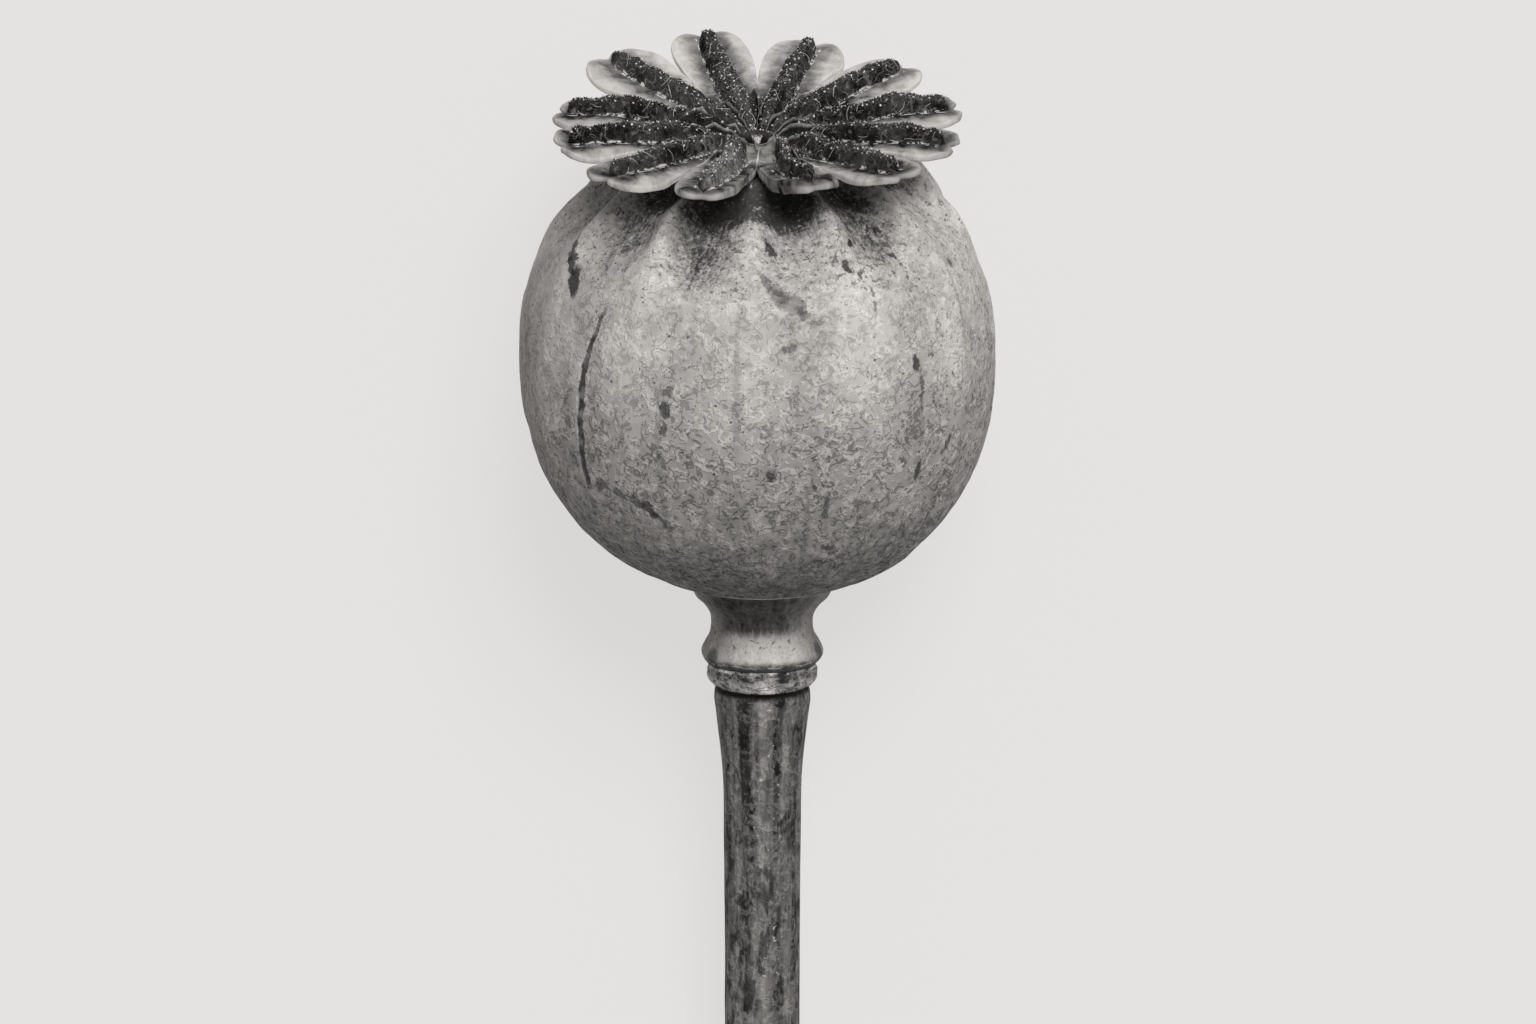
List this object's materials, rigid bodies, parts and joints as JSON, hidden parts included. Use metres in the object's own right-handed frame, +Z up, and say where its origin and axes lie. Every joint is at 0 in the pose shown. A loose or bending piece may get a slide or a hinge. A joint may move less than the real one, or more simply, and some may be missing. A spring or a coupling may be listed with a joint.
{
  "type": "poppy seed pod",
  "caption": "Dried poppy seed pod lying on its side: round ribbed capsule, spreading crown of pale lobes with dark crests, ringed foot and a length of stalk.",
  "frame": {"origin": "on the surface the pod lies on, under the middle of its bounding box", "axes": "+Z up, away from the surface; +Y along the pod from the stalk's cut end towards the crown; +X across the pod"},
  "size_m": [0.0422, 0.1384, 0.0443],
  "materials": {
    "husk": "matte",
    "lobe": "matte",
    "crest": "matte",
    "stem": "matte"
  },
  "bodies": {
    "root": {"capsule": "husk", "crown": "lobe", "stigma_rays": "crest", "stalk": "stem"}
  },
  "joints": []
}
